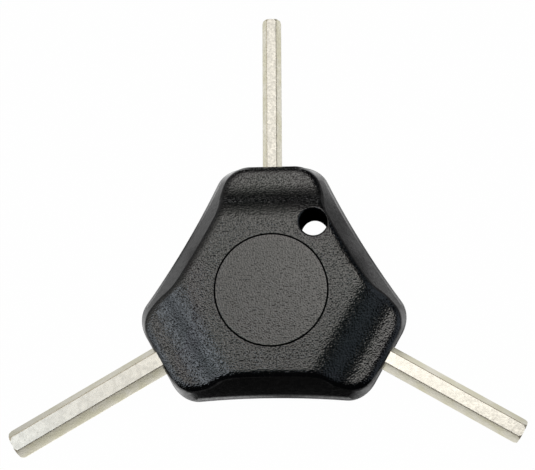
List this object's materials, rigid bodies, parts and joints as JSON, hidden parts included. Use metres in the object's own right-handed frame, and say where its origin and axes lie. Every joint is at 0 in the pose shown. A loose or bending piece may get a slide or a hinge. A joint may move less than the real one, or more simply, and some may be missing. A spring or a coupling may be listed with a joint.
{
  "type": "y wrench",
  "caption": "Y-shaped hand wrench: a moulded black handle with stepped lobes, a hexagonal steel key of a different size standing out of each lobe, and a hanging hole.",
  "frame": {"origin": "centre of the handle's back face, which the tool rests on", "axes": "+Z through the handle from the back face to the front face, +Y along the 4 mm key towards its tip, and so the 6 mm key points to -X -Y and the 5 mm key to +X -Y"},
  "size_m": [0.1161, 0.1034, 0.0142],
  "materials": {
    "black_plastic": "black, fine leather-like grain, satin gloss",
    "plated_steel_4": "satin nickel plate on drawn hexagonal bar",
    "plated_steel_5": "satin nickel plate on drawn hexagonal bar",
    "plated_steel_6": "satin nickel plate on drawn hexagonal bar"
  },
  "bodies": {
    "root": {"moulded_handle": "black_plastic", "hex_key_4_mm": "plated_steel_4", "hex_key_5_mm": "plated_steel_5", "hex_key_6_mm": "plated_steel_6"}
  },
  "joints": []
}
